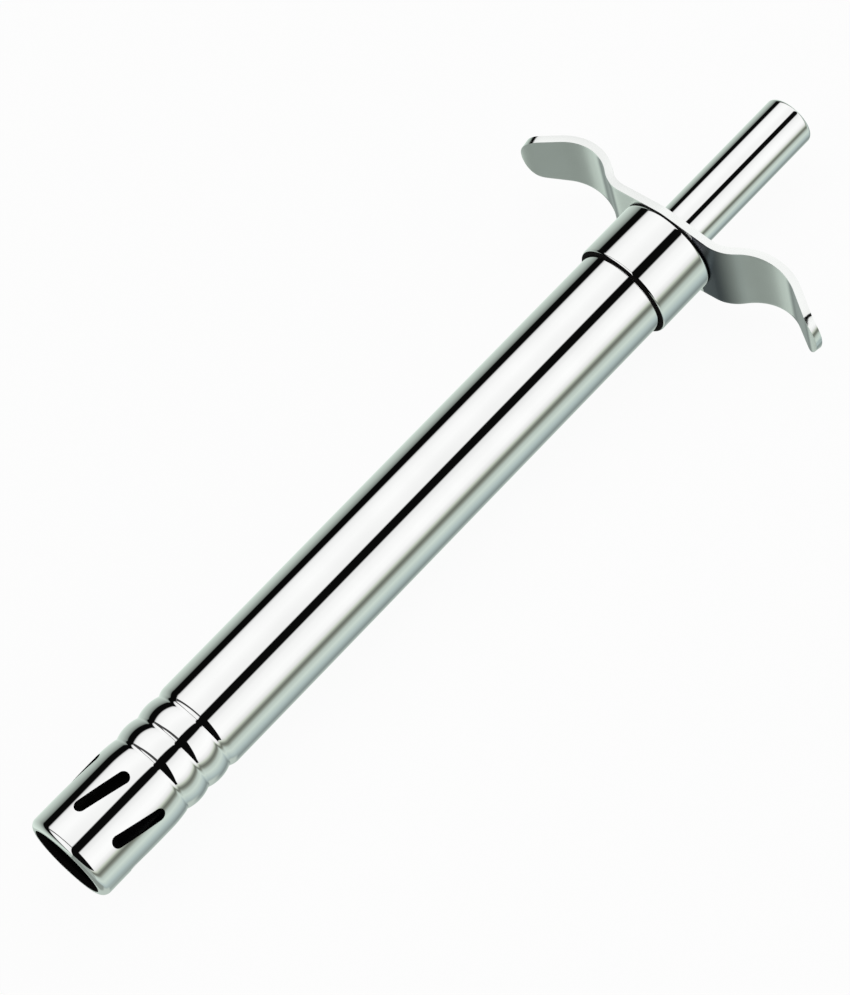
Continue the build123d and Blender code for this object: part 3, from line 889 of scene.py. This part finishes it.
# The soft tent round the lighter, turning about the tube's axis from the camera's side: (degrees, display
# brightness, cloth). White walls, a dark gap on the left, a narrow one in front, and coloured cloth behind.
TENT = (
    (-180, 215, SAGE),
    (-170, 230, SAGE),
    (-130, 185, SAGE),
    (-116, 145, SAGE),
    (-111.5, 120, SAGE),
    (-109.5, 8, WHITE),
    (-89, 8, WHITE),
    (-87, 210, WHITE),
    (-82, 240, WHITE),
    (-65, 250, WHITE),
    (-50, 252, WHITE),
    (-30, 245, WHITE),
    (-14.5, 242, WHITE),
    (-13, 10, WHITE),
    (5, 10, WHITE),
    (6, 230, WHITE),
    (20, 247, WHITE),
    (38, 253, WHITE),
    (50, 250, WHITE),
    (60, 230, WHITE),
    (66, 200, OLIVE),
    (70, 150, OLIVE),
    (75, 108, OLIVE),
    (80, 135, OLIVE),
    (88, 195, SAGE),
    (100, 215, SAGE),
    (118, 190, TEAL),
    (132, 160, TEAL),
    (141, 140, TEAL),
    (170, 197, SAGE),
    (180, 215, SAGE),
)
MIDDLE = math.radians(119.6)  # angle about the tube's axis, from +Y, that faces the camera
CARD_GAIN = 1.08              # the tent is this much brighter than the display values, for the steel's loss
# Dark and grey cloths towards the tent's two ends. Each holds from one turn to another, in degrees, and from
# one lean along the tube to another (the sine of the lean). Its far edge may slope, by lean for each degree.
CLOTHS = (
    # turns        leans           slope    softness     brightness, cloth
    ((-13.5, 62), (-1.4, -0.115), -0.0037, (1.0, 0.02), (10, WHITE)),
    ((-88, -13.5), (-0.43, -0.28), 0.0, (1.0, 0.02), (65, WHITE)),
    ((62, 116), (-1.4, -0.72), 0.0, (3.0, 0.05), (165, SAGE)),
    ((130, 190), (-1.4, 0.10), 0.0, (12.0, 0.20), (194, SAGE)),
    ((-190, -172), (-1.4, 0.10), 0.0, (6.0, 0.20), (194, SAGE)),
    ((122, 190), (-1.4, -0.40), 0.0, (12.0, 0.14), (145, SAGE)),
)


def camera_axes(stage):
    """The camera's right, up and back directions."""
    turn_angle, height, roll = stage.azimuth, stage.elevation, stage.roll
    back = Vector((
        math.sin(turn_angle) * math.cos(height),
        -math.cos(turn_angle) * math.cos(height),
        math.sin(height),
    ))
    level = Vector((0, 0, 1)).cross(back).normalized()
    upright = back.cross(level)
    right = level * math.cos(roll) - upright * math.sin(roll)
    up = level * math.sin(roll) + upright * math.cos(roll)
    return right, up, back


def tent_world():
    """The studio's soft tent as the world: what the steel mirrors and what lights it."""
    world = bpy.data.worlds.new("tent")
    bpy.context.scene.world = world
    world.use_nodes = True
    tree = world.node_tree
    tree.nodes.clear()
    link = tree.links.new
    look = add(tree, "ShaderNodeTexCoord")

    def along(direction):
        node = add(tree, "ShaderNodeVectorMath", operation="DOT_PRODUCT")
        node.inputs[1].default_value = direction
        link(look.outputs["Generated"], node.inputs[0])
        return node.outputs["Value"]

    facing = (0, math.cos(MIDDLE), math.sin(MIDDLE))
    beside = (0, -math.sin(MIDDLE), math.cos(MIDDLE))
    angle = maths(tree, "ARCTAN2", along(beside), along(facing))
    share = maths(tree, "MULTIPLY_ADD", angle, 1 / (2 * math.pi), 0.5)
    ramp = add(tree, "ShaderNodeValToRGB")
    stops = ramp.color_ramp.elements
    while len(stops) < len(TENT):
        stops.new(0.5)
    for stop, (degrees, brightness, cloth) in zip(stops, TENT):
        stop.position = (degrees + 180) / 360
        stop.color = cloth_light(brightness, cloth)
    link(share, ramp.inputs["Fac"])

    lean = along((1, 0, 0))
    degrees = maths(tree, "MULTIPLY", angle, 180 / math.pi)

    def past(value, edge, softness):
        return fade(tree, value, edge - softness / 2, edge + softness / 2)

    walls = ramp.outputs["Color"]
    for (first, last), (near, far), slope, (turn_edge, lean_edge), tone in CLOTHS:
        sloped = maths(tree, "MULTIPLY_ADD", degrees, -slope, lean)
        beyond = maths(tree, "SUBTRACT", 1.0, past(degrees, last, turn_edge))
        inside = maths(tree, "MULTIPLY", past(degrees, first, turn_edge), beyond)
        between = maths(tree, "SUBTRACT", past(lean, near, lean_edge), past(sloped, far, lean_edge))
        cover = maths(tree, "MULTIPLY", inside, maths(tree, "MAXIMUM", between, 0.0))
        covered = add(tree, "ShaderNodeMix", data_type="RGBA")
        link(cover, covered.inputs["Factor"])
        link(walls, covered.inputs[6])
        covered.inputs[7].default_value = cloth_light(*tone)
        walls = covered.outputs[2]
    tent = add(tree, "ShaderNodeBackground", inputs={"Strength": CARD_GAIN})
    link(walls, tent.inputs["Color"])
    plain = add(tree, "ShaderNodeBackground", inputs={"Color": (1, 1, 1, 1)})
    path = add(tree, "ShaderNodeLightPath")
    choose = add(tree, "ShaderNodeMixShader")
    link(path.outputs["Is Camera Ray"], choose.inputs["Fac"])
    link(tent.outputs[0], choose.inputs[1])
    link(plain.outputs[0], choose.inputs[2])
    output = add(tree, "ShaderNodeOutputWorld")
    link(choose.outputs[0], output.inputs["Surface"])


def studio_floor(context):
    """A pale, softly lit floor under the lighter. The steel mirrors the tent in its place."""
    deselect()
    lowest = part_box("finger_grip")[0].z
    bpy.ops.mesh.primitive_plane_add(size=context.scene.lighter_stage.floor, location=(0.1, 0, lowest))
    floor = bpy.context.object
    floor.name = "studio_floor"
    floor.visible_glossy = False
    material = bpy.data.materials.new("studio_floor")
    material.use_nodes = True
    tree = material.node_tree
    shader = tree.nodes["Principled BSDF"]
    shader.inputs["Base Color"].default_value = (*context.scene.lighter_finish.floor, 1)
    shader.inputs["Roughness"].default_value = 1.0
    shader.inputs["Specular IOR Level"].default_value = 0.0
    glow = add(tree, "ShaderNodeEmission", inputs={"Color": (1, 1, 1, 1), "Strength": 1.0})
    blend = add(tree, "ShaderNodeMixShader", inputs={"Fac": 0.94})
    tree.links.new(shader.outputs[0], blend.inputs[1])
    tree.links.new(glow.outputs[0], blend.inputs[2])
    tree.links.new(blend.outputs[0], tree.nodes["Material Output"].inputs["Surface"])
    floor.data.materials.append(material)


def studio_camera(stage):
    right, up, back = camera_axes(stage)
    camera = bpy.data.objects.new("camera", bpy.data.cameras.new("camera"))
    bpy.context.scene.collection.objects.link(camera)
    turned = Matrix((right, up, back)).transposed().to_4x4()
    camera.matrix_world = Matrix.Translation(Vector(stage.aim) + back * stage.distance) @ turned
    camera.data.lens = stage.lens
    camera.data.clip_start = 0.01
    bpy.context.scene.camera = camera


class LIGHTER_OT_stage(bpy.types.Operator):
    """Set up the floor, the soft tent and the camera"""

    bl_idname = "lighter.stage"
    bl_label = "Studio"

    def execute(self, context):
        stage = context.scene.lighter_stage
        context.scene.view_settings.view_transform = "Standard"
        studio_camera(stage)
        tent_world()
        studio_floor(context)
        return {"FINISHED"}


class LIGHTER_PT_panel(bpy.types.Panel):
    """Sizes, colours and building steps of the gas lighter"""

    bl_label = "Gas Lighter"
    bl_idname = "LIGHTER_PT_panel"
    bl_space_type = "VIEW_3D"
    bl_region_type = "UI"
    bl_category = "Gas Lighter"

    def draw(self, context):
        layout = self.layout
        for step in STEPS:
            layout.operator(step.bl_idname, text=step.bl_label)
        for group in GROUPS:
            sizes = getattr(context.scene, group)
            column = layout.box().column()
            for name in sizes.__annotations__:
                column.prop(sizes, name)


STEPS = (
    LIGHTER_OT_stage, LIGHTER_OT_striker, LIGHTER_OT_springs, LIGHTER_OT_barrel,
    LIGHTER_OT_collar, LIGHTER_OT_grip, LIGHTER_OT_plunger,
)
GROUPS = {
    "lighter_barrel": BarrelSizes,
    "lighter_grip": GripSizes,
    "lighter_finish": FinishColours,
    "lighter_stage": StageSizes,
}


def register():
    for group, kind in GROUPS.items():
        bpy.utils.register_class(kind)
        setattr(bpy.types.Scene, group, PointerProperty(type=kind))
    for step in STEPS:
        bpy.utils.register_class(step)
    bpy.utils.register_class(LIGHTER_PT_panel)


def unregister():
    bpy.utils.unregister_class(LIGHTER_PT_panel)
    for step in reversed(STEPS):
        bpy.utils.unregister_class(step)
    for group, kind in reversed(GROUPS.items()):
        delattr(bpy.types.Scene, group)
        bpy.utils.unregister_class(kind)


def main():
    register()
    for step in STEPS:
        family, name = step.bl_idname.split(".")
        getattr(getattr(bpy.ops, family), name)()


if __name__ == "__main__":
    main()
